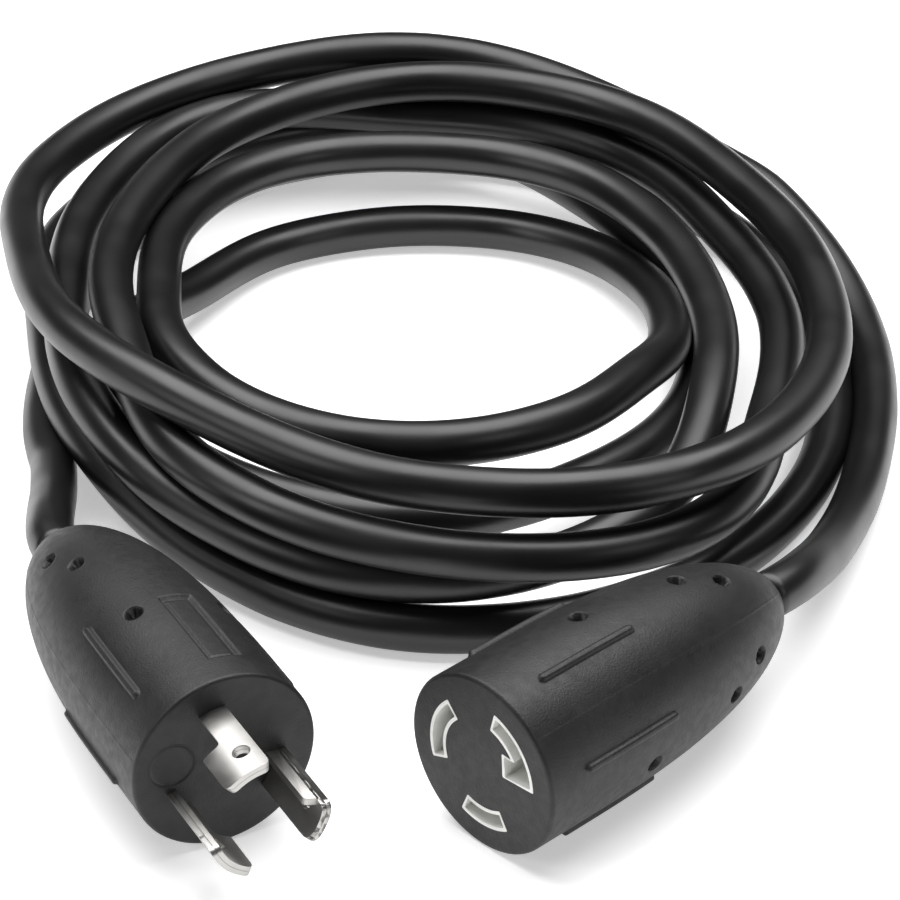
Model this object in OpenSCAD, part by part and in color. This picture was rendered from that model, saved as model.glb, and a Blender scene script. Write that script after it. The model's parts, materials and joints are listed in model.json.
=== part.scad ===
// Moulded cord set with a three-blade locking plug, a matching locking connector and its cord in a coil.
// Both end fittings are modelled in a face frame: the contact face is z = 0, +z points out of the face,
// +x is to the right and +y up as seen by someone who looks at the face. Angles on the face run
// anticlockwise from +x. Each fitting is then laid on its side on the ground plane.

/* [End fittings] */
// Diameter of both overmoulded bodies
body_d = 38; // [36:0.5:40]
// Length of both bodies from the face to the rear end
body_len = 80; // [78:1:80]
// Distance behind the face where the body starts to taper
nose_start = 16; // [16:1:20]
// Length over which the taper would close to a point
nose_reach = 66.2; // [66.2:0.2:70]
// Height of the raised grip ribs
rib_h = 0.7; // [0.5:0.1:0.8]
// Width of the grip ribs
rib_w = 1.6; // [1.2:0.1:2]
// Diameter of the mould-pin dimples
dimple_d = 3.4; // [2.6:0.2:3.6]

/* [Blades and slots] */
// Inner radius of the curved blades
blade_r = 10.8; // [10.6:0.1:11]
// Thickness of the blades
blade_t = 2; // [1.8:0.1:2]
// How far the blades stand out of the plug's face
blade_out = 20; // [18:0.5:21]
// Radius of the hole near each blade's tip
blade_hole_r = 1.7; // [1.4:0.1:1.8]
// Clearance between a blade and the slot in the contact carrier, on each side
slot_gap = 0.4; // [0.3:0.05:0.5]
// Clearance between a blade and the window in the connector's face, on each side
window_gap = 0.95; // [0.8:0.05:0.95]

/* [Cord] */
// Outer diameter of the cord's jacket
cord_d = 10.2; // [9.8:0.1:10.4]
// Outer diameter of one insulated core
core_d = 3.9; // [3.6:0.1:4]
// Diameter of one stranded conductor
copper_d = 2.4; // [2.2:0.1:2.5]
// Width of the coil across the fittings' side
coil_w = 192; // [188:1:196]
// Depth of the coil away from the fittings
coil_depth = 228; // [224:1:232]
// Radial thickness of the coil's bundle
coil_wall = 46; // [42:1:50]
// Height of the coil's bundle
coil_h = 42; // [40:1:44]

/* [Layout] */
// Place of the centre of the plug's face, across
plug_x = -33; // [-34:0.5:-32]
// Place of the centre of the plug's face, in depth
plug_y = -25.4; // [-26.4:0.5:-24.4]
// Direction the plug's face looks in, in degrees from +X
plug_yaw = -62; // [-63:0.5:-61]
// Place of the centre of the connector's face, across
connector_x = 15.5; // [15:0.5:16]
// Place of the centre of the connector's face, in depth
connector_y = -26.4; // [-27.4:0.5:-25.4]
// Direction the connector's face looks in, in degrees from +X
connector_yaw = 224; // [223:0.5:225]
// Centre of the coil, across
coil_x = 2.5; // [1:0.5:4]
// Centre of the coil, in depth
coil_y = 144; // [143:0.5:145]

/* [Hidden] */

$fn = 64;
body_r = body_d / 2;
plug_axis_h = body_r + 0.25;      // the plug rests on one of its ribs
connector_axis_h = body_r;        // the connector rests between two ribs
nose_power = 2.6;
nose_steps = 12;
face_edge = 0.6;
cut = 0.01;                       // overlap of a cutting tool past a face it meets
past = 1;                         // how far a cutting tool runs clear of what it cuts
step = 0.1;                       // small offset that keeps two faces out of one plane

// One line for each pole, in the order ground, neutral, hot
GROUND = 0;
NEUTRAL = 1;
HOT = 2;
POLE_COLOURS = ["green", "white", "black"];

// Plug blades, as angles on the plug's face
blade_start = [-48, 197, 88];
blade_end = [-6, 250, 133];
notch_angle = [0, 20, 20];        // width of the locking notch at the blade's anticlockwise edge
notch_len = 9.5;
blade_hole_at = [-20, 222, 103];
blade_hole_z = 14;
blade_chamfer = 3;
chamfer_lift = 0.3;               // how far outside the tip's corner the chamfer's cutter is centred
foot_len = 2.3;                   // the ground blade's foot, bent towards the centre
foot_t = 1.5;
foot_angle = 3;                   // angle of the ground blade's wall that its foot takes the place of

// The plug's face angle becomes mate_turn minus that angle on the connector's face
mate_turn = 383;
twist = 20;                       // how far the plug turns to lock
slot_start = [3, 131, 248];
slot_end = [76, 200, 301];
foot_slot_w = 4.4;
foot_slot_extra = 1.6;            // how much deeper towards the axis the foot slot is than the foot

// Plug internals, as distances behind the face
plug_carrier_front = 3;
plug_carrier_back = 16;
plug_carrier_r = 15;
plug_crimp_front = 17;
crimp_len = 10;
crimp_at_r = 9.5;                 // distance of each crimp barrel from the axis
crimp_wall = 1;
crimp_r = copper_d / 2 + crimp_wall;
core_from_axis = 2.6;             // distance of each insulated core from the cord's axis
core_straight = 4;                // straight run at both ends of a core
chamber_r = 12.2;                 // the hollow around the crimps
chamber_len = 16;
cord_ledge = 0.4;                 // the jacket's cut end rests on a ledge of this width
plug_cord_end_at = 50;

// Connector internals, as distances behind the face
window_depth = 1.5;
pocket_front = 5;
carrier_back = 24;
cap_back = 27;
carrier_r = 16;
pocket_r_in = 8.8;
pocket_r_out = 14.8;
foot_pocket_r = 5.9;
foot_pocket_end = 42;
pocket_margin = 2;                // extra angle of a pocket past a blade's locked edge
carrier_slot_trim = 1.5;          // extra angle by which the carrier's slots are shorter at both ends
jaw_r = 9.2;
jaw_t = 0.8;
jaw_front = 7;
jaw_start = [40, 128, 240];
jaw_end = [56, 156, 266];
flange_reach = 8;                 // angle by which a contact's flange goes past its leaf
flange_margin = 1;                // extra angle at both ends of the flange
flange_rim = 1;                   // how far the flange goes outside its leaf
leaf_at = [40, 142, 260];
leaf_w = 4.4;
leaf_t = 0.5;
leaf_r = 12.35;                   // the leaf's inner side, before a blade pushes it out
leaf_front = 8;
leaf_root = 23.15;                // the leaf stands 0.05 mm clear of its flange
tail_w = 2.4;
tail_t = 1.2;
tail_clearance = 0.3;             // how much thinner a blade's strap is than a contact's
tail_r = 10.4;
strap_overlap = 0.6;              // how far a blade's strap runs into its barrel and its blade
connector_cord_end_at = 58;

// Grip ribs and dimples, placed about each body's parting line
plug_parting = 164.5;
connector_parting = 42;
rib_front = 9.5;
rib_len = 25;
rib_root = 1;                     // how far a rib's root reaches into the body
rib_offsets = [-150, -90, -30, 30, 90, 150];
plug_rib_offsets = [-150, -30, 30, 90, 150];
dimple_offsets = [58, 50, 35];
dimple_places = [29, 54, 63];
dimple_depth = 1.6;
panel_offset = -87;
panel_w = 6.8;
panel_front = 7.4;
panel_len = 23;
panel_depth = 0.9;
gate_mark_at = 166.5;
gate_mark_from_axis = 11.3;
gate_mark_r = 4.5;
gate_mark_w = 0.5;
gate_mark_depth = 0.3;

// Routes of the uncoiled stretches of cord
plug_lead = [[-70.6, 45.2, 19.2], [-73.2, 51, 18.8], [-74.6, 60, 17.2], [-75, 70, 15], [-75.2, 80, 12.6]];
connector_lead = [[73, 29.2, 19], [78.4, 34.9, 18.6], [83, 43, 16.5], [88, 56, 12], [93, 72, 8],
  [98, 90, 5.8], [102, 110, 5.2], [104.5, 130, 5.2], [105.5, 150, 5.2], [103.5, 168, 6.5],
  [99, 184, 9.5], [92.5, 197, 13], [84.5, 208, 17]];
route_steps = 2;
tube_sides = 10;
coil_corner = 8;                  // rounding of the coil's bundle

// ---------- placing ----------

module at_plug()
  translate([plug_x, plug_y, plug_axis_h]) rotate([0, 0, plug_yaw]) rotate([90, 0, 90]) children();

module at_connector()
  translate([connector_x, connector_y, connector_axis_h]) rotate([0, 0, connector_yaw])
    rotate([90, 0, 90]) children();

// ---------- shared shapes ----------

// Radius of the body at a distance behind its face
function body_radius(back) =
  back <= nose_start ? body_r : body_r * sqrt(1 - pow((back - nose_start) / nose_reach, nose_power));

nose_points = [for (i = [0:nose_steps])
  let (back = nose_start + (body_len - nose_start) * i / nose_steps) [body_radius(back), -back]];

module body_solid()
  rotate_extrude($fn = 96)
    polygon(concat([[0, 0], [body_r - face_edge, 0], [body_r, -face_edge]], nose_points, [[0, -body_len]]));

// A wall that follows a circle about the axis, between two angles and two heights
module arc_wall(r_in, r_out, start, end, z_low, z_high)
  rotate([0, 0, start]) translate([0, 0, z_low]) rotate_extrude(angle = end - start, $fn = 96)
    translate([r_in, 0]) square([r_out - r_in, z_high - z_low]);

module ribs(parting, offsets)
  for (offset = offsets) rotate([0, 0, parting + offset])
    translate([body_r - rib_root, -rib_w / 2, -rib_front - rib_len])
      cube([rib_root + rib_h, rib_w, rib_len]);

module dimples(parting)
  for (half = [0, 180], side = [-1, 1], i = [0:len(dimple_places) - 1])
    rotate([0, 0, parting + half + side * dimple_offsets[i]])
      translate([body_radius(dimple_places[i]) - dimple_depth, 0, -dimple_places[i]])
        rotate([0, 90, 0]) cylinder(d = dimple_d, h = 2 * dimple_depth, $fn = 24);

// The way of an insulated core from its crimp barrel to its place in the cord
function core_route(at, from_back, to_back) =
  let (away = [cos(at), sin(at), 0])
  [away * crimp_at_r - [0, 0, from_back],
    away * crimp_at_r - [0, 0, from_back + core_straight],
    away * (crimp_at_r + core_from_axis) / 2 - [0, 0, (from_back + to_back) / 2],
    away * core_from_axis - [0, 0, to_back - core_straight],
    away * core_from_axis - [0, 0, to_back]];

module core_run(at, from_back, to_back)
  cord_tube(route(core_route(at, from_back, to_back), route_steps), core_d, [-sin(at), cos(at), 0]);

// The hollow that holds the crimps and narrows towards the cord, for the cores to cross
module core_chamber(front, back) {
  wide_back = front + chamber_len;
  translate([0, 0, -wide_back]) cylinder(r = chamber_r, h = chamber_len + past, $fn = 96);
  translate([0, 0, -back])
    cylinder(r1 = cord_d / 2 - cord_ledge, r2 = chamber_r, h = back - wide_back, $fn = 96);
}

// The stretch of jacketed cord that is held inside a body
module cord_stub(front)
  translate([0, 0, -body_len - cut]) cylinder(d = cord_d, h = body_len - front + cut, $fn = 96);

module crimp_barrel(at, front)
  rotate([0, 0, at]) translate([crimp_at_r, 0, -front - crimp_len]) difference() {
    cylinder(r = crimp_r, h = crimp_len, $fn = 32);
    translate([0, 0, -cut]) cylinder(d = copper_d, h = crimp_len - crimp_wall + cut, $fn = 32);
  }

module conductor_end(at, front)
  rotate([0, 0, at]) translate([crimp_at_r, 0, -front - crimp_len])
    cylinder(d = copper_d, h = crimp_len - crimp_wall, $fn = 32);

// ---------- plug ----------

function blade_mid(pole) = (blade_start[pole] + blade_end[pole]) / 2;

// The curved wall of a blade; the ground blade's foot forms the end of its wall
module blade_body(pole, back) {
  foot_turn = pole == GROUND ? foot_angle : 0;
  arc_wall(blade_r, blade_r + blade_t, blade_start[pole], blade_end[pole] - foot_turn, -back, blade_out);
  if (pole == GROUND)
    rotate([0, 0, blade_end[pole]]) translate([blade_r - foot_len, -foot_t, -back + step])
      cube([foot_len + blade_t - step, foot_t, back + blade_out - 2 * step]);
}

module plug_blade(pole)
  color("gainsboro") at_plug() difference() {
    union() {
      blade_body(pole, plug_carrier_back);
      rotate([0, 0, blade_mid(pole)])
        translate([blade_r + step, -tail_w / 2, -plug_crimp_front - strap_overlap])
          cube([tail_t - tail_clearance, tail_w, plug_crimp_front - plug_carrier_back + 2 * strap_overlap]);
      crimp_barrel(blade_mid(pole), plug_crimp_front);
    }
    if (notch_angle[pole] > 0)
      arc_wall(blade_r - past, blade_r + blade_t + past, blade_end[pole] - notch_angle[pole],
        blade_end[pole] + past, 0, notch_len);
    rotate([0, 0, blade_hole_at[pole]]) translate([blade_r - past, 0, blade_hole_z]) rotate([0, 90, 0])
      cylinder(r = blade_hole_r, h = blade_t + 2 * past, $fn = 32);
    for (edge = [blade_start[pole], blade_end[pole]])
      rotate([0, 0, edge]) translate([blade_r, 0, blade_out + chamfer_lift]) rotate([45, 0, 0])
        cube([3 * foot_len + blade_t, blade_chamfer, blade_chamfer], center = true);
  }

module plug_blade_ground() plug_blade(GROUND);
module plug_blade_neutral() plug_blade(NEUTRAL);
module plug_blade_hot() plug_blade(HOT);

module plug_carrier_solid()
  translate([0, 0, -plug_carrier_back])
    cylinder(r = plug_carrier_r, h = plug_carrier_back - plug_carrier_front);

module plug_blade_carrier()
  color("dimgray") at_plug() difference() {
    plug_carrier_solid();
    for (pole = [GROUND, NEUTRAL, HOT]) blade_body(pole, plug_carrier_back + past);
  }

module plug_core(pole) core_run(blade_mid(pole), plug_crimp_front + crimp_len, plug_cord_end_at);

module plug_overmould()
  color([0.22, 0.22, 0.21]) at_plug() difference() {
    union() {
      body_solid();
      ribs(plug_parting, plug_rib_offsets);
    }
    dimples(plug_parting);
    rotate([0, 0, plug_parting + panel_offset])
      translate([body_r - panel_depth, -panel_w / 2, -panel_front - panel_len])
        cube([panel_depth + past, panel_w, panel_len]);
    rotate([0, 0, gate_mark_at]) translate([gate_mark_from_axis, 0, -gate_mark_depth]) difference() {
      cylinder(r = gate_mark_r, h = past);
      translate([0, 0, -cut]) cylinder(r = gate_mark_r - gate_mark_w, h = past + 2 * cut);
    }
    plug_carrier_solid();
    for (pole = [GROUND, NEUTRAL, HOT]) blade_body(pole, plug_carrier_front + past);
    core_chamber(plug_carrier_back, plug_cord_end_at);
    cord_stub(plug_cord_end_at);
  }

module plug_conductor(pole)
  color("peru") at_plug() conductor_end(blade_mid(pole), plug_crimp_front);

module plug_conductor_ground() plug_conductor(GROUND);
module plug_conductor_neutral() plug_conductor(NEUTRAL);
module plug_conductor_hot() plug_conductor(HOT);

module plug_wire_ground() color(POLE_COLOURS[GROUND]) at_plug() plug_core(GROUND);
module plug_wire_neutral() color(POLE_COLOURS[NEUTRAL]) at_plug() plug_core(NEUTRAL);
module plug_wire_hot() color(POLE_COLOURS[HOT]) at_plug() plug_core(HOT);

module plug_cord_end() color([0.1, 0.1, 0.1]) at_plug() translate([0, 0, -body_len])
  cylinder(d = cord_d, h = body_len - plug_cord_end_at);

// ---------- connector ----------

// The opening for one blade: a curved slot, and the ground pole's straight foot slot
module slot_space(pole, gap, trim, z_low, z_high) {
  arc_wall(blade_r - gap, blade_r + blade_t + gap, slot_start[pole] + trim, slot_end[pole] - trim,
    z_low, z_high);
  if (pole == GROUND)
    rotate([0, 0, slot_start[pole] + trim])
      translate([blade_r - foot_len - foot_slot_extra - gap, step, z_low])
        cube([foot_len + foot_slot_extra + gap + blade_t / 2, foot_slot_w + gap, z_high - z_low]);
}

// Where a blade's leading edge stands once the plug is turned to lock
function blade_lock_start(pole) = (mate_turn - blade_end[pole]) % 360 - twist;

module contact_tail(pole)
  rotate([0, 0, leaf_at[pole]]) translate([tail_r, -tail_w / 2, -cap_back - cut])
    cube([tail_t, tail_w, cap_back - carrier_back + jaw_t]);

module connector_carrier()
  color([0.88, 0.89, 0.87]) at_connector() difference() {
    translate([0, 0, -carrier_back]) cylinder(r = carrier_r, h = carrier_back - window_depth);
    for (pole = [GROUND, NEUTRAL, HOT]) {
      slot_space(pole, slot_gap, carrier_slot_trim, -pocket_front - past, 0);
      arc_wall(pocket_r_in, pocket_r_out, min(slot_start[pole], blade_lock_start(pole)) - pocket_margin,
        slot_end[pole], -carrier_back - past, -pocket_front);
    }
    arc_wall(foot_pocket_r, pocket_r_in + past, slot_start[GROUND] - pocket_margin, foot_pocket_end,
      -carrier_back - past, -pocket_front);
  }

module connector_carrier_cap()
  color([0.8, 0.8, 0.78]) at_connector() difference() {
    translate([0, 0, -cap_back]) cylinder(r = carrier_r, h = cap_back - carrier_back);
    for (pole = [GROUND, NEUTRAL, HOT]) contact_tail(pole);
  }

module connector_contact(pole)
  color("goldenrod") at_connector() {
    arc_wall(jaw_r, jaw_r + jaw_t, jaw_start[pole], jaw_end[pole], -carrier_back + step, -jaw_front);
    arc_wall(jaw_r + step, leaf_r + leaf_t + flange_rim,
      min(jaw_start[pole], leaf_at[pole] - flange_reach) - flange_margin, jaw_end[pole] + flange_margin,
      -carrier_back, -carrier_back + jaw_t);
    contact_tail(pole);
    crimp_barrel(leaf_at[pole], cap_back);
  }

module connector_contact_ground() connector_contact(GROUND);
module connector_contact_neutral() connector_contact(NEUTRAL);
module connector_contact_hot() connector_contact(HOT);

module connector_leaf(pole)
  color("khaki") at_connector() rotate([0, 0, leaf_at[pole]]) {
    translate([leaf_r, -leaf_w / 2, -leaf_root]) cube([leaf_t, leaf_w, leaf_root - leaf_front]);
    translate([leaf_r + leaf_t, leaf_w / 2, -leaf_front]) rotate([90, 0, 0])
      cylinder(r = leaf_t, h = leaf_w, $fn = 24);
  }

module connector_leaf_ground() connector_leaf(GROUND);
module connector_leaf_neutral() connector_leaf(NEUTRAL);
module connector_leaf_hot() connector_leaf(HOT);

module connector_core(pole) core_run(leaf_at[pole], cap_back + crimp_len, connector_cord_end_at);

module connector_overmould()
  color([0.22, 0.22, 0.21]) at_connector() difference() {
    union() {
      body_solid();
      ribs(connector_parting, rib_offsets);
    }
    dimples(connector_parting);
    for (pole = [GROUND, NEUTRAL, HOT]) slot_space(pole, window_gap, 0, -window_depth - cut, past);
    core_chamber(cap_back, connector_cord_end_at);
    translate([0, 0, -cap_back]) cylinder(r = carrier_r, h = cap_back - window_depth);
    cord_stub(connector_cord_end_at);
  }

module connector_conductor(pole)
  color("peru") at_connector() conductor_end(leaf_at[pole], cap_back);

module connector_conductor_ground() connector_conductor(GROUND);
module connector_conductor_neutral() connector_conductor(NEUTRAL);
module connector_conductor_hot() connector_conductor(HOT);

module connector_wire_ground() color(POLE_COLOURS[GROUND]) at_connector() connector_core(GROUND);
module connector_wire_neutral() color(POLE_COLOURS[NEUTRAL]) at_connector() connector_core(NEUTRAL);
module connector_wire_hot() color(POLE_COLOURS[HOT]) at_connector() connector_core(HOT);

module connector_cord_end() color([0.1, 0.1, 0.1]) at_connector() translate([0, 0, -body_len])
  cylinder(d = cord_d, h = body_len - connector_cord_end_at);

// ---------- cord ----------

function unit(v) = v / norm(v);

// A point on the smooth curve that passes through p1 and p2
function smooth(p0, p1, p2, p3, t) =
  0.5 * (2 * p1 + (p2 - p0) * t + (2 * p0 - 5 * p1 + 4 * p2 - p3) * t * t
    + (3 * p1 - p0 - 3 * p2 + p3) * t * t * t);

function route(points, steps) = let (last = len(points) - 1) concat(
  [for (i = [0:last - 1], s = [0:steps - 1])
    smooth(points[max(i - 1, 0)], points[i], points[i + 1], points[min(i + 2, last)], s / steps)],
  [points[last]]);

// A round tube swept along a route that never runs along the level direction
module cord_tube(points, d, level = [0, 0, 1])
  let (last = len(points) - 1,
       rings = [for (i = [0:last])
         let (along = unit(points[min(i + 1, last)] - points[max(i - 1, 0)]),
              side = unit(cross(along, level)),
              up = cross(side, along))
         for (k = [0:tube_sides - 1])
           let (a = 360 * k / tube_sides) points[i] + (side * cos(a) + up * sin(a)) * d / 2],
       walls = [for (i = [0:last - 1], k = [0:tube_sides - 1])
         let (next = (k + 1) % tube_sides)
         let (here = i * tube_sides, above = here + tube_sides)
         [here + k, here + next, above + next, above + k]],
       start_cap = [[for (k = [tube_sides - 1:-1:0]) k]],
       end_cap = [[for (k = [0:tube_sides - 1]) last * tube_sides + k]])
    polyhedron(rings, concat(start_cap, walls, end_cap));

module cord_plug_lead() color([0.1, 0.1, 0.1]) cord_tube(route(plug_lead, route_steps), cord_d);
module cord_connector_lead() color([0.1, 0.1, 0.1]) cord_tube(route(connector_lead, route_steps), cord_d);

// Cross-section of the coil's bundle, with its outer side at x = coil_w / 2
module coil_section()
  translate([coil_w / 2 - coil_wall, 0]) {
    translate([coil_corner, 0]) square([coil_wall - 2 * coil_corner, coil_h]);
    translate([0, coil_corner]) square([coil_wall, coil_h - 2 * coil_corner]);
    for (x = [coil_corner, coil_wall - coil_corner], y = [coil_corner, coil_h - coil_corner])
      translate([x, y]) circle(r = coil_corner);
  }

module cord_coil() {
  straight = coil_depth - coil_w;
  color([0.1, 0.1, 0.1]) translate([coil_x, coil_y, 0]) for (side = [0, 180]) rotate([0, 0, side]) {
    translate([0, straight / 2, 0]) rotate_extrude(angle = 180, $fn = 96) coil_section();
    translate([0, straight / 2, 0]) rotate([90, 0, 0]) linear_extrude(straight) coil_section();
  }
}

plug_overmould();
plug_blade_carrier();
plug_blade_ground();
plug_blade_neutral();
plug_blade_hot();
plug_conductor_ground();
plug_conductor_neutral();
plug_conductor_hot();
plug_wire_ground();
plug_wire_neutral();
plug_wire_hot();
plug_cord_end();
connector_overmould();
connector_carrier();
connector_carrier_cap();
connector_contact_ground();
connector_contact_neutral();
connector_contact_hot();
connector_leaf_ground();
connector_leaf_neutral();
connector_leaf_hot();
connector_conductor_ground();
connector_conductor_neutral();
connector_conductor_hot();
connector_wire_ground();
connector_wire_neutral();
connector_wire_hot();
connector_cord_end();
cord_plug_lead();
cord_coil();
cord_connector_lead();
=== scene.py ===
"""Looks of the coiled locking cord set: its cord, overmoulds, blades, materials, floor, lights and camera.

Shapes of the two end fittings are worked out in the fitting's own face frame, in millimetres: the contact
face is z = 0, +z points out of it, +x is right and +y up as seen by someone who looks at the face. Angles
on the face run anticlockwise from +x. face_matrix() takes them to the part's frame, in metres.
"""

import json
import math

import bmesh
import bpy
import numpy as np
from mathutils import Matrix, Vector
from mathutils.geometry import delaunay_2d_cdt


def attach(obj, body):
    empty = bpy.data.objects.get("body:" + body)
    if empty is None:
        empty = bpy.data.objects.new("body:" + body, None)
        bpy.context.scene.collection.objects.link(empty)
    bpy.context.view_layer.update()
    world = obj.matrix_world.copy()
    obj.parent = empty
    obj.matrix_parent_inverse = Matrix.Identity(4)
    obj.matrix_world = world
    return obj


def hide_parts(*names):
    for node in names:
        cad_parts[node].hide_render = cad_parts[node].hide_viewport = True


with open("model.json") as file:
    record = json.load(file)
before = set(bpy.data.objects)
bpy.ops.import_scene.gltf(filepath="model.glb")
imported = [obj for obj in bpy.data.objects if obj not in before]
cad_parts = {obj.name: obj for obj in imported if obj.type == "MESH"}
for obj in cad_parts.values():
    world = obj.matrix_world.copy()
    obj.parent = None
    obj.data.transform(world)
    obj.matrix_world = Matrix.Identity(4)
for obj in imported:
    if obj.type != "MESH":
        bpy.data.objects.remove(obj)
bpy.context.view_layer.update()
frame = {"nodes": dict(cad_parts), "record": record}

MM = 0.001
ROOT = "cord_set"

# ---------- sizes, in millimetres and degrees ----------

# The bodies' outline, the blades' arcs and both leads are those of part.scad. The ribs, dimples, windows and
# the foot's length differ from it slightly, to show as they do on the real thing.

BODY_R = 19.0
BODY_LEN = 80.0
NOSE_START = 16.0
NOSE_REACH = 66.2
NOSE_POWER = 2.6
EDGE_ROUND = 0.8
TAIL_LEN = 6.0                                 # the body's last stretch, which has finer rows
FACE_ROWS = 84                                 # rows of the mesh over the face, the edge, the side, the tail
EDGE_ROWS = 7
SIDE_ROWS = 230
TAIL_ROWS = 24
AROUND = 480                                   # columns of the mesh around the body

PLUG = {"face": (-33.0, -25.4, 19.25), "yaw": -62.0, "parting": 164.5, "ribs": (-150, -30, 30, 90, 150)}
CONNECTOR = {"face": (15.5, -26.4, 19.0), "yaw": 224.0, "parting": 42.0,
             "ribs": (-150, -90, -30, 30, 90, 150)}

RIB_H = 0.9
RIB_W = 1.4
RIB_FRONT = 9.5
RIB_LEN = 25.0
RIB_FLANK = 0.15                               # how far a rib's foot spreads past its width
DIMPLE_R = 1.7
DIMPLE_DEPTH = 2.6
DIMPLE_SOFT = 0.35                             # width over which a dimple's wall falls
DIMPLES = ((58, 29), (50, 54), (35, 63))       # angle from the parting line, distance behind the face
PANEL_AT = -87.0
PANEL_W = 6.8
PANEL_FRONT = 7.4
PANEL_LEN = 23.0
PANEL_DEPTH = 0.9
PARTING_H = 0.07                               # the mould's parting line
PARTING_W = 0.16
GATE_AT = 166.5
GATE_FROM_AXIS = 11.3
GATE_R = 4.5
GATE_RING = 0.22                               # width and depth of the ring round the moulding gate
GATE_SUNK = 0.06

BLADE_R = 10.8
BLADE_T = 2.0
BLADE_MID = BLADE_R + BLADE_T / 2
BLADE_SEAM = 0.03                              # half the gap between a folded blade's two layers
BLADE_OUT = 20.0
BLADE_ROOT = 2.8                               # the shown blades start this far behind the face
BLADES = {
    "ground": {"start": -48, "end": -6, "notch": 0, "hole": -20},
    "neutral": {"start": 197, "end": 250, "notch": 20, "hole": 222},
    "hot": {"start": 88, "end": 133, "notch": 20, "hole": 103},
}
NOTCH_LEN = 9.5
HOLE_R = 1.7
HOLE_AT = 14.0
HOLE_SIDES = 28
FOOT_LEN = 2.3
FOOT_T = 1.5
FOOT_SHORT = 3.4                               # how far before the blade's tip its foot ends

SLOTS = {"ground": (3, 76), "neutral": (131, 200), "hot": (248, 301)}
SLOT_GAP = 0.4
WINDOW_GAP = 1.15
WINDOW_DEPTH = 1.5
UNDER_RIM = 0.25                               # how far the black face runs under the white rims
RIM_PROUD = 0.06
RIM_TRIM = 2.5                                 # angle of white at both ends of a slot
RIM_CORNER = 0.35
ARC_POINTS = 15
FOOT_SLOT_W = 5.3
FOOT_SLOT_REACH = 3.9

ROOM_GLOW = 0.05                               # brightness of the room around the softboxes
FLOOR_GLOW = 0.45
FLOOR_HALF = 6.0                               # half the floor's side, in metres
LENS = 141.2                                   # on a 36 mm sensor
CAMERA_AT = (9.6, -561.8, 423.9)
CAMERA_TILT = 58.0
# Each softbox's name, place, target, width and depth in metres, and power in watts
SOFTBOXES = [
    ("softbox_top", (0.0, 0.35, 0.95), (0, 0.1, 0), (1.5, 0.9), 23),
    ("softbox_left", (-0.9, -0.4, 0.6), (0, 0, 0), (0.4, 0.5), 2.2),
    ("softbox_right", (0.8, -0.6, 0.6), (0, 0, 0), (0.3, 0.4), 0.8),
]

CORD_D = 10.2
CORE_LAY = 0.11                                # length of one twist of the three cores, in metres
CORE_BULGE = 0.006                             # their bulge, as a share of the cord's radius
POINT_GAP = 6.0                                # distance between the points that are laid apart
CORD_STIFFNESS = 0.05                          # how much of each small kink a round takes out
COIL_CENTRE = (2.6, 143.6)

# The route, in millimetres: the uncoiled stretch at each end, then the coil's turns between them.
PLUG_LEAD = [(-70.6, 45.2, 19.2), (-73.2, 51, 18.8), (-74.6, 60, 17.2), (-75, 70, 15), (-75.2, 80, 12.6)]
CONNECTOR_LEAD = [(73, 29.2, 19), (78.4, 34.9, 18.6), (83, 43, 16.5), (88, 56, 12), (93, 72, 8),
                  (98, 90, 5.8), (102, 110, 5.2), (104.5, 130, 5.2), (105.5, 150, 5.2), (103.5, 168, 6.5),
                  (99, 184, 9.5), (92.5, 197, 13), (84.5, 208, 17)]
# Each turn's distance from the coil's centre and its height, at every twelfth of a turn, clockwise as seen
# from above. The first station is a twelfth of a turn before the coil's left side.
STATION_ANGLE = 30
TURNS = [
    [(91, 10), (84, 7), (93, 5), (106, 5), (112, 5), (107, 5),
     (100, 5), (97, 5), (101, 5), (106, 5), (105, 5), (92, 6)],
    [(87, 15), (86, 16), (99, 15), (106, 14), (106, 14), (81, 13),
     (68, 9), (62, 8), (63, 10), (69, 13), (80, 16), (78, 17)],
    [(73, 16), (68, 15), (63, 8), (69, 5), (70, 5), (72, 5),
     (67, 8), (61, 12), (58, 20), (63, 24), (67, 26), (66, 27)],
    [(63, 29), (60, 28), (67, 27), (75, 25), (74, 24), (72, 24),
     (66, 24), (66, 24), (75, 24), (94, 17), (101, 15), (92, 18)],
    [(85, 24), (81, 24), (91, 24), (105, 24), (99, 20), (97, 20),
     (84, 20), (83, 20), (89, 19), (110, 22), (104, 24), (92, 29)],
    [(74, 33), (70, 33), (73, 33), (86, 32), (97, 32), (95, 32),
     (87, 32), (90, 32), (100, 32), (108, 35), (98, 35), (86, 36)],
    [(86, 38), (89, 34), (105, 30), (113, 30), (107, 34), (99, 26)],
]


# ---------- small helpers ----------

def smoothstep(x):
    x = np.clip(x, 0.0, 1.0)
    return x * x * (3 - 2 * x)


def face_matrix(fitting):
    """Takes millimetres in a fitting's face frame to metres in the part's frame."""
    x, y, z = fitting["face"]
    place = Matrix.Translation((x * MM, y * MM, z * MM))
    turn = Matrix.Rotation(math.radians(fitting["yaw"]), 4, "Z")
    lay_down = Matrix(((0, 0, 1, 0), (1, 0, 0, 0), (0, 1, 0, 0), (0, 0, 0, 1)))
    return place @ turn @ lay_down @ Matrix.Scale(MM, 4)


def new_object(name, verts, faces, matrix=None):
    mesh = bpy.data.meshes.new(name)
    mesh.from_pydata([tuple(v) for v in verts], [], [tuple(f) for f in faces])
    if matrix is not None:
        mesh.transform(matrix)
    mesh.validate()
    for polygon in mesh.polygons:
        polygon.use_smooth = True
    obj = bpy.data.objects.new(name, mesh)
    bpy.context.scene.collection.objects.link(obj)
    return obj


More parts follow.
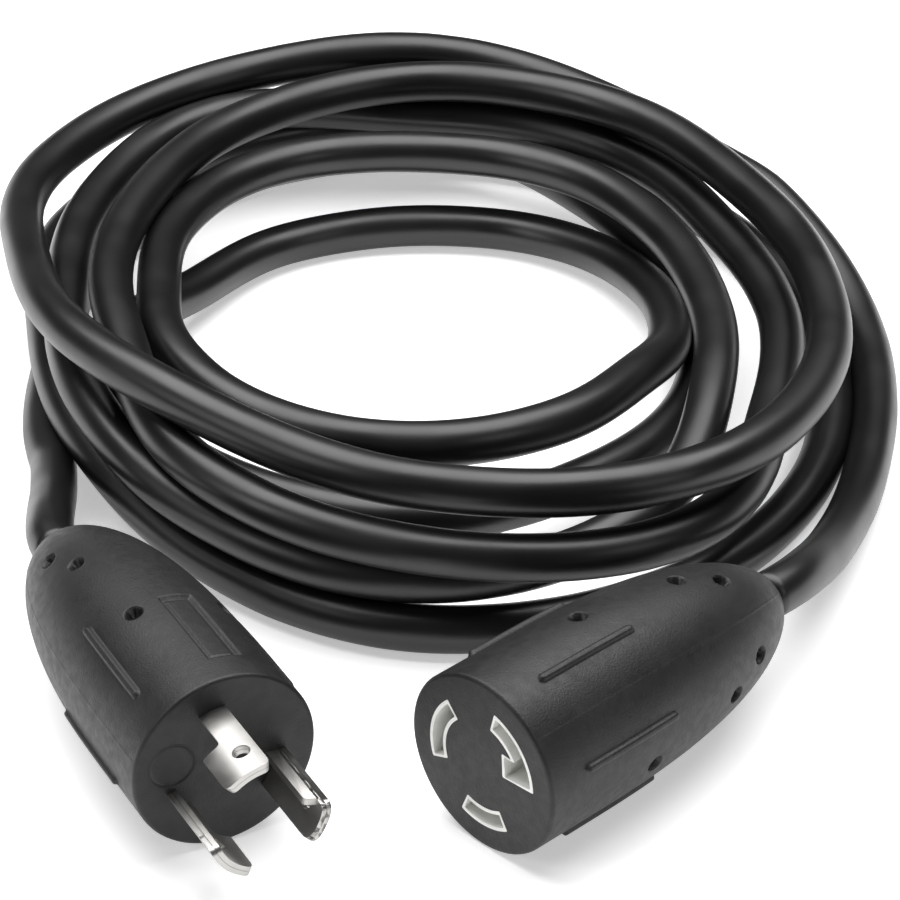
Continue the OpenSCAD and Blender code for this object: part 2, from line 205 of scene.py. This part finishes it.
def grid_faces(rows, columns):
    """Quads of a grid of vertices, row by row, whose columns close into a ring."""
    faces = []
    for i in range(rows - 1):
        for k in range(columns):
            nxt = (k + 1) % columns
            here, above = i * columns, (i + 1) * columns
            faces.append((here + k, here + nxt, above + nxt, above + k))
    return faces


def angle_between(a, b):
    """Signed difference of two angles in degrees, from -180 to 180."""
    return (a - b + 180) % 360 - 180


# ---------- materials ----------

def node_material(name, colour, roughness, metallic=0.0, specular=0.5):
    material = bpy.data.materials.new(name)
    material.use_nodes = True
    shader = material.node_tree.nodes["Principled BSDF"]
    shader.inputs["Base Color"].default_value = (*colour, 1)
    shader.inputs["Roughness"].default_value = roughness
    shader.inputs["Metallic"].default_value = metallic
    shader.inputs["Specular IOR Level"].default_value = specular
    return material, material.node_tree, shader


def add_noise(tree, scale, detail=3.0, stretch=None):
    """A noise texture in the object's own coordinates, in metres, optionally stretched along an axis."""
    where = tree.nodes.new("ShaderNodeTexCoord")
    noise = tree.nodes.new("ShaderNodeTexNoise")
    noise.inputs["Scale"].default_value = scale
    noise.inputs["Detail"].default_value = detail
    source = where.outputs["Object"]
    if stretch:
        mapping = tree.nodes.new("ShaderNodeMapping")
        mapping.inputs["Scale"].default_value = stretch
        tree.links.new(source, mapping.inputs["Vector"])
        source = mapping.outputs["Vector"]
    tree.links.new(source, noise.inputs["Vector"])
    return noise


def add_bump(tree, shader, noise, strength, height):
    bump = tree.nodes.new("ShaderNodeBump")
    bump.inputs["Strength"].default_value = strength
    bump.inputs["Distance"].default_value = height
    tree.links.new(noise.outputs["Fac"], bump.inputs["Height"])
    tree.links.new(bump.outputs["Normal"], shader.inputs["Normal"])


def add_ramp(tree, noise, socket, low, high):
    """Drives a socket from a noise, between two colours or two numbers."""
    ramp = tree.nodes.new("ShaderNodeValToRGB")
    ramp.color_ramp.elements[0].position = 0.35
    ramp.color_ramp.elements[1].position = 0.65
    ramp.color_ramp.elements[0].color = (*low, 1) if hasattr(low, "__len__") else (low, low, low, 1)
    ramp.color_ramp.elements[1].color = (*high, 1) if hasattr(high, "__len__") else (high, high, high, 1)
    tree.links.new(noise.outputs["Fac"], ramp.inputs["Fac"])
    tree.links.new(ramp.outputs["Color"], socket)


def overmould_material():
    """Charcoal moulded plastic with a fine sandblasted grain and slight cloudiness."""
    material, tree, shader = node_material("overmould_charcoal", (0.012, 0.0123, 0.0117), 0.5, specular=0.4)
    grain = add_noise(tree, 2400, 2)
    add_bump(tree, shader, grain, 0.5, 0.00014)
    cloud = add_noise(tree, 90, 4)
    add_ramp(tree, cloud, shader.inputs["Base Color"], (0.009, 0.0093, 0.009), (0.015, 0.0153, 0.0145))
    add_ramp(tree, add_noise(tree, 500, 3), shader.inputs["Roughness"], 0.44, 0.54)
    return material


def jacket_material():
    """Black jacket with a soft gloss, a faint fine grain and rubbed patches."""
    material, tree, shader = node_material("jacket_black", (0.003, 0.003, 0.0031), 0.36, specular=0.55)
    add_ramp(tree, add_noise(tree, 45, 5), shader.inputs["Roughness"], 0.32, 0.42)
    add_ramp(tree, add_noise(tree, 30, 3), shader.inputs["Base Color"],
             (0.002, 0.002, 0.0021), (0.005, 0.005, 0.0052))
    add_bump(tree, shader, add_noise(tree, 700, 3), 0.12, 0.00008)
    return material


def metal_material(name, colour, roughness, streak):
    """Plated sheet metal with fine rolling marks and uneven polish."""
    material, tree, shader = node_material(name, colour, roughness, metallic=1.0)
    marks = add_noise(tree, 420, 4, stretch=streak)
    add_ramp(tree, marks, shader.inputs["Roughness"], roughness * 0.95, roughness * 1.1)
    dull = add_noise(tree, 160, 4)
    add_ramp(tree, dull, shader.inputs["Base Color"], [c * 0.94 for c in colour], colour)
    return material


def moulded_material(name, colour, roughness=0.45):
    material, tree, shader = node_material(name, colour, roughness)
    add_ramp(tree, add_noise(tree, 300, 3), shader.inputs["Base Color"], [c * 0.9 for c in colour], colour)
    add_bump(tree, shader, add_noise(tree, 1800, 2), 0.15, 0.00006)
    return material


MATERIALS = {
    "overmould": overmould_material(),
    "jacket": jacket_material(),
    "blade": metal_material("blade_nickel", (0.44, 0.43, 0.415), 0.36, (1, 1, 0.2)),
    "contact": metal_material("contact_brass", (0.75, 0.58, 0.3), 0.28, (1, 1, 0.3)),
    "leaf": metal_material("leaf_bronze", (0.78, 0.6, 0.36), 0.25, (1, 1, 0.3)),
    "copper": metal_material("bare_copper", (0.75, 0.4, 0.26), 0.3, (1, 1, 0.2)),
    "blade_carrier": moulded_material("blade_carrier_black", (0.02, 0.02, 0.02)),
    "contact_carrier": moulded_material("contact_carrier_white", (0.9, 0.9, 0.87)),
    "core_ground": moulded_material("core_green", (0.02, 0.18, 0.04), 0.35),
    "core_neutral": moulded_material("core_white", (0.75, 0.75, 0.72), 0.35),
    "core_hot": moulded_material("core_black", (0.015, 0.015, 0.015), 0.35),
}


def dress(obj, slot):
    obj.data.materials.clear()
    obj.data.materials.append(MATERIALS[slot])


# ---------- the cord ----------

def through(points, steps):
    """A smooth curve through every point, with this many pieces between two of them."""
    p = np.array(points, float)
    before = np.vstack([p[:1], p[:-2]])
    after = np.vstack([p[2:], p[-1:]])
    start, end = p[:-1], p[1:]
    rows = []
    for k in range(steps):
        t = k / steps
        rows.append(0.5 * (2 * start + (end - before) * t + (2 * before - 5 * start + 4 * end - after) * t * t
                           + (3 * start - before - 3 * end + after) * t ** 3))
    curve = np.stack(rows, 1).reshape(-1, p.shape[1])
    return np.vstack([curve, p[-1:]])


def even(points, spacing):
    """The same line with its points an even distance apart."""
    run = np.concatenate([[0], np.cumsum(np.linalg.norm(np.diff(points, axis=0), axis=1))])
    count = int(round(run[-1] / spacing))
    at = np.linspace(0, run[-1], count + 1)
    return np.stack([np.interp(at, run, points[:, k]) for k in range(3)], 1)


def coil_points():
    """The coil's turns, worked out from the stations of each turn."""
    stations = [(STATION_ANGLE * (i - 1), r, h) for i, (r, h) in enumerate(s for turn in TURNS for s in turn)]
    curve = through(stations, 5)
    angle = np.radians(180 - curve[:, 0])
    x = COIL_CENTRE[0] + curve[:, 1] * np.cos(angle)
    y = COIL_CENTRE[1] + curve[:, 1] * np.sin(angle)
    return np.stack([x, y, curve[:, 2]], 1)


def lay_apart(points, rounds=260, neighbours=6, held=4):
    """Moves stretches that lie in each other apart until they only touch, and keeps them above the floor.

    Each round pushes every pair of points that are closer than the cord's diameter apart, then spreads
    the moves along the cord, which is stiff. The ends stay in their fittings.
    """
    rest = points.copy()
    now = points.copy()
    index = np.arange(len(points))
    apart = np.abs(index[:, None] - index[None, :]) > neighbours
    free = np.ones((len(points), 1))
    free[:held] = 0
    free[-held:] = 0
    for turn in range(rounds):
        gap = now[:, None, :] - now[None, :, :]
        distance = np.sqrt((gap ** 2).sum(2)) + 1e-9
        close = (distance < CORD_D) & apart
        share = np.where(close, (CORD_D - distance) * 0.5, 0) / distance
        push = (gap * share[:, :, None]).sum(1) / np.maximum(1, 0.6 * close.sum(1, keepdims=True))
        moved = now + push * free - rest
        moved[1:-1] += 0.25 * (moved[2:] + moved[:-2] - 2 * moved[1:-1]) * free[1:-1]
        now = rest + moved
        kink = now[:-4] - 4 * now[1:-3] + 6 * now[2:-2] - 4 * now[3:-1] + now[4:]
        now[2:-2] -= CORD_STIFFNESS * kink * free[2:-2]
        now[:, 2] = np.maximum(now[:, 2], CORD_D / 2)
    return now


def tube(name, line, radius, sides=28):
    """A closed round tube along a line of points, in metres, with the faint bulge of three twisted cores."""
    tangents = np.gradient(line, axis=0)
    tangents /= np.linalg.norm(tangents, axis=1)[:, None]
    side = np.cross(tangents, (0, 0, 1.0))
    side /= np.linalg.norm(side, axis=1)[:, None]
    up = np.cross(side, tangents)
    run = np.concatenate([[0], np.cumsum(np.linalg.norm(np.diff(line, axis=0), axis=1))])
    angle = np.linspace(0, 2 * math.pi, sides, endpoint=False)
    twist = run[:, None] / CORE_LAY * 2 * math.pi
    reach = radius * (1 + CORE_BULGE * np.cos(3 * (angle[None, :] - twist)))
    rings = (line[:, None, :] + (side[:, None, :] * np.cos(angle)[None, :, None]
                                 + up[:, None, :] * np.sin(angle)[None, :, None]) * reach[:, :, None])
    verts = rings.reshape(-1, 3)
    faces = grid_faces(len(line), sides)
    faces = [f[::-1] for f in faces]
    faces.append(tuple(range(sides)))
    last = (len(line) - 1) * sides
    faces.append(tuple(last + k for k in reversed(range(sides))))
    return new_object(name, verts, faces)


def make_cord():
    turns = coil_points()
    route = np.vstack([through(PLUG_LEAD, 4), turns, through(CONNECTOR_LEAD[::-1], 4)])
    line = lay_apart(even(route, POINT_GAP))
    fine = through(line, 2) * MM
    cord = tube("cord_jacket", fine, CORD_D / 2 * MM)
    dress(cord, "jacket")
    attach(cord, ROOT)
    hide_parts("cord_plug_lead", "cord_coil", "cord_connector_lead")


# ---------- the overmoulds ----------

def body_radius(back):
    taper = np.clip((back - NOSE_START) / NOSE_REACH, 0, 1)
    return BODY_R * np.sqrt(1 - taper ** NOSE_POWER)


def body_profile():
    """Points (radius, z) from the face's centre over the edge and back to the cord, with their normals."""
    face = [(r, 0.0) for r in np.linspace(0.2, BODY_R - EDGE_ROUND, FACE_ROWS)]
    edge = [(BODY_R - EDGE_ROUND + EDGE_ROUND * math.sin(a), -EDGE_ROUND + EDGE_ROUND * math.cos(a))
            for a in np.linspace(0, math.pi / 2, EDGE_ROWS)[1:]]
    backs = np.concatenate([np.linspace(EDGE_ROUND, BODY_LEN - TAIL_LEN, SIDE_ROWS)[1:],
                            np.linspace(BODY_LEN - TAIL_LEN, BODY_LEN, TAIL_ROWS)[1:]])
    side = [(float(body_radius(b)), -float(b)) for b in backs]
    rear_r = side[-1][0]
    rear = [(rear_r - 0.15, -BODY_LEN - 0.1), (CORD_D / 2 + 0.1, -BODY_LEN),
            (CORD_D / 2 - 0.2, -BODY_LEN + 0.8)]
    profile = np.array(face + edge + side + rear)
    along = np.gradient(profile, axis=0)
    along /= np.linalg.norm(along, axis=1)[:, None]
    normals = np.stack([-along[:, 1], along[:, 0]], 1)
    return profile, normals, len(face)


def raised(inside, soft):
    """1 well inside a shape, 0 outside, from the distance inside its outline."""
    return smoothstep(inside / soft + 0.5)


def rib_height(fitting, radius, back, angle):
    height = np.zeros(np.broadcast(back, angle).shape)
    for offset in fitting["ribs"]:
        across = np.radians(angle_between(angle, fitting["parting"] + offset)) * radius
        end = np.maximum(RIB_FRONT + RIB_W / 2 - back, back - (RIB_FRONT + RIB_LEN - RIB_W / 2))
        reach = np.hypot(across, np.maximum(end, 0))
        height += RIB_H * np.sqrt(np.clip(1 - (reach / (RIB_W / 2 + RIB_FLANK)) ** 4, 0, 1))
    return height


def dimple_height(fitting, radius, back, angle):
    height = np.zeros(np.broadcast(back, angle).shape)
    for half in (0, 180):
        for side in (-1, 1):
            for offset, place in DIMPLES:
                across = np.radians(angle_between(angle, fitting["parting"] + half + side * offset)) * radius
                reach = np.hypot(across, back - place)
                height -= DIMPLE_DEPTH * raised(DIMPLE_R - reach, DIMPLE_SOFT)
    return height


def parting_height(fitting, radius, back, angle):
    """The thin raised line where the mould's halves meet."""
    height = np.zeros(np.broadcast(back, angle).shape)
    for half in (0, 180):
        across = np.radians(angle_between(angle, fitting["parting"] + half)) * radius
        height += PARTING_H * np.exp(-(across / PARTING_W) ** 2) * raised(back - 1.5, 2.0)
    return height


def panel_height(fitting, radius, back, angle):
    across = np.radians(angle_between(angle, fitting["parting"] + PANEL_AT)) * radius
    inside = np.minimum(PANEL_W / 2 - np.abs(across),
                        PANEL_LEN / 2 - np.abs(back - PANEL_FRONT - PANEL_LEN / 2))
    step = np.minimum(across + PANEL_W / 2 - 1.1, inside - 0.6)
    return -PANEL_DEPTH * raised(inside, 0.4) + 0.35 * raised(inside - 0.9, 0.3) * raised(step, 0.3)


def window_inside(x, y):
    """Distance inside the nearest window of the connector's face, negative outside all of them."""
    radius = np.hypot(x, y)
    angle = np.degrees(np.arctan2(y, x))
    best = np.full(np.shape(x), -99.0)
    for pole, (start, end) in SLOTS.items():
        centre = (start + end) / 2
        off = np.abs(angle_between(angle, centre))
        along = np.radians((end - start) / 2 - off) * BLADE_MID
        across = BLADE_T / 2 + WINDOW_GAP - np.abs(radius - BLADE_MID)
        best = np.maximum(best, np.minimum(along, across))
    a = math.radians(SLOTS["ground"][0])
    u = x * math.cos(a) + y * math.sin(a)
    v = -x * math.sin(a) + y * math.cos(a)
    low = BLADE_R - FOOT_SLOT_REACH - WINDOW_GAP
    foot = np.minimum(np.minimum(u - low, BLADE_MID - u), np.minimum(v, FOOT_SLOT_W - v))
    return np.maximum(best, foot)


def make_body(name, fitting, plug):
    profile, normals, face_rows = body_profile()
    angle = np.linspace(0, 360, AROUND, endpoint=False)[None, :]
    radius, z = profile[:, :1], profile[:, 1:]
    back = -z
    x = radius * np.cos(np.radians(angle))
    y = radius * np.sin(np.radians(angle))
    on_side = (np.arange(len(profile)) >= face_rows + 2)[:, None]
    height = (rib_height(fitting, radius, back, angle) + dimple_height(fitting, radius, back, angle)
              + parting_height(fitting, radius, back, angle))
    if plug:
        height = height + panel_height(fitting, radius, back, angle)
    height = height * on_side
    if plug:
        gate = math.radians(GATE_AT)
        reach = np.hypot(x - GATE_FROM_AXIS * math.cos(gate), y - GATE_FROM_AXIS * math.sin(gate))
        ring = np.exp(-((reach - GATE_R) / GATE_RING) ** 2)
        height = height - GATE_RING * ring * ~on_side - GATE_SUNK * raised(GATE_R - reach, 0.5) * ~on_side
        keep_out = np.full(x.shape, -1.0)
    else:
        keep_out = np.where(z > -EDGE_ROUND / 2, window_inside(x, y) - UNDER_RIM, -1.0)
    verts = np.stack([x + normals[:, :1] * height * np.cos(np.radians(angle)),
                      y + normals[:, :1] * height * np.sin(np.radians(angle)),
                      z + normals[:, 1:] * height], 2).reshape(-1, 3)
    inside = keep_out.reshape(-1)
    faces = [f for f in grid_faces(len(profile), AROUND) if min(inside[i] for i in f) < 0.0]
    centre = len(verts)
    verts = np.vstack([verts, [(0, 0, 0)]])
    faces += [(centre, (k + 1) % AROUND, k) for k in range(AROUND)]
    faces = [f[::-1] for f in faces]
    obj = new_object(name, verts, faces, face_matrix(fitting))
    if not plug:
        sink_window_rims(obj, fitting)
    return obj


def sink_window_rims(obj, fitting):
    """Extrudes the open rims of the windows inwards, so that the face has thickness."""
    mesh = bmesh.new()
    mesh.from_mesh(obj.data)
    to_face = face_matrix(fitting).inverted()
    rim = [e for e in mesh.edges if e.is_boundary and (to_face @ e.verts[0].co).z > -2]
    made = bmesh.ops.extrude_edge_only(mesh, edges=rim)
    inward = face_matrix(fitting).to_3x3() @ Vector((0, 0, -WINDOW_DEPTH))
    for vert in (v for v in made["geom"] if isinstance(v, bmesh.types.BMVert)):
        vert.co += inward
    for face in mesh.faces:
        face.smooth = True
    mesh.to_mesh(obj.data)
    mesh.free()


def opening_outline(pole, gap, trim):
    """A rounded outline on the connector's face round one slot, this far outside the blade's own place."""
    start, end = (math.radians(a) for a in (SLOTS[pole][0] + trim, SLOTS[pole][1] - trim))
    r_in, r_out = BLADE_R - gap, BLADE_R + BLADE_T + gap
    low, wide = BLADE_R - FOOT_SLOT_REACH - gap, (FOOT_SLOT_W - (WINDOW_GAP - gap)) / r_out
    outer = [(r_out * math.cos(a), r_out * math.sin(a)) for a in np.linspace(start, end, ARC_POINTS)]
    inner_start = start
    foot = []
    if pole == "ground":
        inner_start = start + wide * r_out / r_in
        across = Vector((-math.sin(start), math.cos(start))) * wide * r_out
        root = Vector((math.cos(start), math.sin(start))) * low
        foot = [tuple(root + across), tuple(root)]
    inner = [(r_in * math.cos(a), r_in * math.sin(a)) for a in np.linspace(end, inner_start, ARC_POINTS)]
    corners = outer + inner + foot
    sharp = {0, ARC_POINTS - 1, ARC_POINTS, 2 * ARC_POINTS - 1, 2 * ARC_POINTS, 2 * ARC_POINTS + 1}
    radii = [RIM_CORNER if i in sharp else 0.02 for i in range(len(corners))]
    return rounded(corners, radii, 3)


def make_rims():
    """The white carrier's bosses, which fill the face's windows round the slots."""
    for pole in SLOTS:
        window = opening_outline(pole, WINDOW_GAP, 0)
        slot = opening_outline(pole, SLOT_GAP, RIM_TRIM)
        count = len(window)
        rings = [(window, -WINDOW_DEPTH), (window, 0.0), (window, RIM_PROUD),
                 (slot, RIM_PROUD), (slot, -WINDOW_DEPTH)]
        verts = [(p[0], p[1], z) for outline, z in rings for p in outline]
        rim = new_object(f"slot_rim_{pole}", verts, grid_faces(len(rings), count), face_matrix(CONNECTOR))
        tidy_loose(rim)
        for polygon in rim.data.polygons:
            polygon.use_smooth = False
        soften(rim, 0.1, 2)
        dress(rim, "contact_carrier")
        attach(rim, ROOT)


def make_bodies():
    for name, fitting, plug, node in (("plug_shell", PLUG, True, "plug_overmould"),
                                      ("connector_shell", CONNECTOR, False, "connector_overmould")):
        body = make_body(name, fitting, plug)
        dress(body, "overmould")
        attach(body, ROOT)
        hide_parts(node)


# ---------- the blades ----------

def rounded(corners, radii, steps=6):
    """A closed outline with every corner rounded, each by its own radius."""
    count = len(corners)
    outline = []
    for i, corner in enumerate(corners):
        here = Vector(corner)
        to_last = (Vector(corners[i - 1]) - here).normalized()
        to_next = (Vector(corners[(i + 1) % count]) - here).normalized()
        reach = radii[i]
        for k in range(steps + 1):
            t = k / steps
            first, second = here + to_last * reach, here + to_next * reach
            outline.append((1 - t) ** 2 * first + 2 * t * (1 - t) * here + t * t * second)
    return outline


def spaced(outline, spacing):
    """Adds points to an outline's long edges."""
    out = []
    for a, b in zip(outline, outline[1:] + outline[:1]):
        pieces = max(1, int((b - a).length / spacing))
        out += [a.lerp(b, k / pieces) for k in range(pieces)]
    return out


def blade_outline(blade):
    """The blade unrolled: across is the length along its arc, up is the distance from the face."""
    left = math.radians(blade["start"]) * BLADE_MID
    right = math.radians(blade["end"]) * BLADE_MID
    notch = math.radians(blade["notch"]) * BLADE_MID
    low, top = -BLADE_ROOT, BLADE_OUT
    if notch:
        corners = [(left, low), (right - notch, low), (right - notch, NOTCH_LEN), (right, NOTCH_LEN),
                   (right, top), (left, top)]
        return rounded(corners, [0.1, 0.1, 1.2, 0.5, 1.7, 1.7])
    return rounded([(left, low), (right, low), (right, top), (left, top)], [0.1, 0.1, 1.9, 2.2])


def blade_layer(name, blade, r_in, r_out):
    """One of a folded blade's two layers: its outline with the hole, as thick as r_out - r_in, bent round."""
    outline = spaced(blade_outline(blade), 0.5)
    hole_x = math.radians(blade["hole"]) * BLADE_MID
    hole = [Vector((hole_x + HOLE_R * math.cos(a), HOLE_AT + HOLE_R * math.sin(a)))
            for a in np.linspace(0, 2 * math.pi, HOLE_SIDES, endpoint=False)]
    xs = [p.x for p in outline]
    inner = []
    for gx in np.arange(min(xs), max(xs), 0.55):
        for gy in np.arange(-BLADE_ROOT, BLADE_OUT, 1.1):
            if math.hypot(gx - hole_x, gy - HOLE_AT) > HOLE_R + 0.3:
                inner.append(Vector((gx, gy)))
    points = outline + hole + inner
    count, holes = len(outline), len(hole)
    edges = [(i, (i + 1) % count) for i in range(count)]
    edges += [(count + i, count + (i + 1) % holes) for i in range(holes)]
    flat, flat_edges, flat_faces, _, _, _ = delaunay_2d_cdt(points, edges, [], 0, 1e-5)
    centres = [sum((flat[i] for i in f), Vector((0, 0))) / len(f) for f in flat_faces]
    faces = [f for f, centre in zip(flat_faces, centres) if in_blade(centre, blade, hole_x)]
    verts = []
    for r in (r_in, r_out):
        verts += [(r * math.cos(p.x / BLADE_MID), r * math.sin(p.x / BLADE_MID), p.y) for p in flat]
    shift = len(flat)
    solid = [tuple(reversed(f)) for f in faces] + [tuple(i + shift for i in f) for f in faces]
    sides = dict.fromkeys((a, b) for face in faces for a, b in zip(face, face[1:] + face[:1]))
    for a, b in sides:
        if (b, a) not in sides:
            solid.append((a, b, b + shift, a + shift))
    obj = new_object(name, verts, solid, face_matrix(PLUG))
    tidy_loose(obj)
    soften(obj, 0.2)
    polish(obj, PLUG)
    return obj


def polish(obj, fitting):
    """Gives a curved blade's round faces the normals of a true cylinder, so that its gloss is even."""
    settled = bpy.data.meshes.new_from_object(obj.evaluated_get(bpy.context.evaluated_depsgraph_get()))
    obj.modifiers.clear()
    obj.data = settled
    to_face = face_matrix(fitting).inverted()
    from_face = face_matrix(fitting).to_3x3().normalized()
    normals = [v.normal.copy() for v in settled.vertices]
    for polygon in settled.polygons:
        middle = to_face @ polygon.center
        radial = (from_face @ Vector((middle.x, middle.y, 0))).normalized()
        facing = polygon.normal.dot(radial)
        if abs(facing) > 0.99:
            for index in polygon.vertices:
                place = to_face @ settled.vertices[index].co
                outward = (from_face @ Vector((place.x, place.y, 0))).normalized()
                normals[index] = outward if facing > 0 else -outward
    settled.normals_split_custom_set_from_vertices(normals)


def in_blade(point, blade, hole_x):
    """Whether a point of the unrolled blade lies in its metal."""
    if (point - Vector((hole_x, HOLE_AT))).length < HOLE_R:
        return False
    outline = blade_outline(blade)
    inside = False
    for a, b in zip(outline, outline[1:] + outline[:1]):
        if (a.y > point.y) != (b.y > point.y) and point.x < a.x + (point.y - a.y) / (b.y - a.y) * (b.x - a.x):
            inside = not inside
    return inside


def tidy_loose(obj):
    mesh = bmesh.new()
    mesh.from_mesh(obj.data)
    bmesh.ops.delete(mesh, geom=[v for v in mesh.verts if not v.link_faces], context="VERTS")
    bmesh.ops.recalc_face_normals(mesh, faces=mesh.faces)
    mesh.to_mesh(obj.data)
    mesh.free()


def soften(obj, width, segments=3):
    """Rounds an object's sharp edges by this many millimetres."""
    bevel = obj.modifiers.new("soft_edges", "BEVEL")
    bevel.width = width * MM
    bevel.segments = segments
    bevel.limit_method = "ANGLE"
    bevel.angle_limit = math.radians(40)


def make_foot():
    """The ground blade's foot: a flat strip from its end towards the axis."""
    end = math.radians(BLADES["ground"]["end"])
    spin = Matrix.Rotation(end, 4, "Z")
    low, high = BLADE_R - FOOT_LEN, BLADE_R + 0.6
    top = BLADE_OUT - FOOT_SHORT
    side = spaced(rounded([(low, -BLADE_ROOT), (high, -BLADE_ROOT), (high, top + 0.8), (low, top)],
                          [0.1, 0.1, 0.3, 0.9]), 1.0)
    verts = [spin @ Vector((p.x, y, p.y)) for y in (-FOOT_T, 0) for p in side]
    count = len(side)
    faces = [tuple(range(count)), tuple(reversed(range(count, 2 * count)))]
    faces += [(i, i + count, (i + 1) % count + count, (i + 1) % count) for i in range(count)]
    foot = new_object("blade_foot", verts, faces, face_matrix(PLUG))
    tidy_loose(foot)
    soften(foot, 0.3)
    return foot


def make_blades():
    for pole, blade in BLADES.items():
        layers = [("inner", BLADE_R, BLADE_MID - BLADE_SEAM),
                  ("outer", BLADE_MID + BLADE_SEAM, BLADE_R + BLADE_T)]
        for side, r_in, r_out in layers:
            layer = blade_layer(f"blade_{pole}_{side}", blade, r_in, r_out)
            dress(layer, "blade")
            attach(layer, ROOT)
            if side == "outer":
                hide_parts(f"plug_blade_{pole}")
    foot = make_foot()
    dress(foot, "blade")
    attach(foot, ROOT)


# ---------- carried-over nodes ----------

def slot_of(node):
    slots = {s["node"]: s["material_slot"] for s in frame["record"]["subparts"]}
    return slots[node]


def dress_nodes():
    for name, obj in frame["nodes"].items():
        if not obj.hide_render:
            obj.data.materials.clear()
            obj.data.materials.append(MATERIALS[slot_of(name)])
            for polygon in obj.data.polygons:
                polygon.use_smooth = False


# ---------- floor, lights and camera ----------

def make_stage():
    """A white table top that glows a little, so that it reads as paper white under soft light."""
    material, tree, shader = node_material("floor_white", (0.9, 0.9, 0.9), 0.7, specular=0.1)
    shader.inputs["Emission Color"].default_value = (1, 1, 1, 1)
    shader.inputs["Emission Strength"].default_value = FLOOR_GLOW
    add_ramp(tree, add_noise(tree, 3, 2), shader.inputs["Base Color"], (0.89, 0.89, 0.89), (0.91, 0.91, 0.91))
    corners = [(x * FLOOR_HALF, y * FLOOR_HALF, 0) for x, y in ((-1, -1), (1, -1), (1, 1), (-1, 1))]
    floor = new_object("floor", corners, [(0, 1, 2, 3)])
    floor.data.materials.append(material)


def area_light(name, place, target, size, power):
    data = bpy.data.lights.new(name, "AREA")
    data.energy = power
    data.shape = "RECTANGLE"
    data.size, data.size_y = size
    light = bpy.data.objects.new(name, data)
    light.location = place
    light.rotation_euler = (Vector(target) - Vector(place)).to_track_quat("-Z", "Y").to_euler()
    bpy.context.scene.collection.objects.link(light)


def make_lights():
    """A dim room with one large softbox overhead and two smaller ones at the front corners."""
    world = bpy.data.worlds.new("studio")
    world.use_nodes = True
    world.node_tree.nodes["Background"].inputs["Color"].default_value = (1, 1, 1, 1)
    world.node_tree.nodes["Background"].inputs["Strength"].default_value = ROOM_GLOW
    bpy.context.scene.world = world
    bpy.context.scene.view_settings.view_transform = "Standard"
    for name, place, target, size, power in SOFTBOXES:
        area_light(name, place, target, size, power)


def make_camera():
    data = bpy.data.cameras.new("camera")
    data.sensor_width = 36.0
    data.lens = LENS
    camera = bpy.data.objects.new("camera", data)
    camera.location = [v * MM for v in CAMERA_AT]
    camera.rotation_euler = (math.radians(CAMERA_TILT), 0, 0)
    bpy.context.scene.collection.objects.link(camera)
    bpy.context.scene.camera = camera


make_camera()
make_cord()
make_bodies()
make_rims()
make_blades()
dress_nodes()
make_stage()
make_lights()
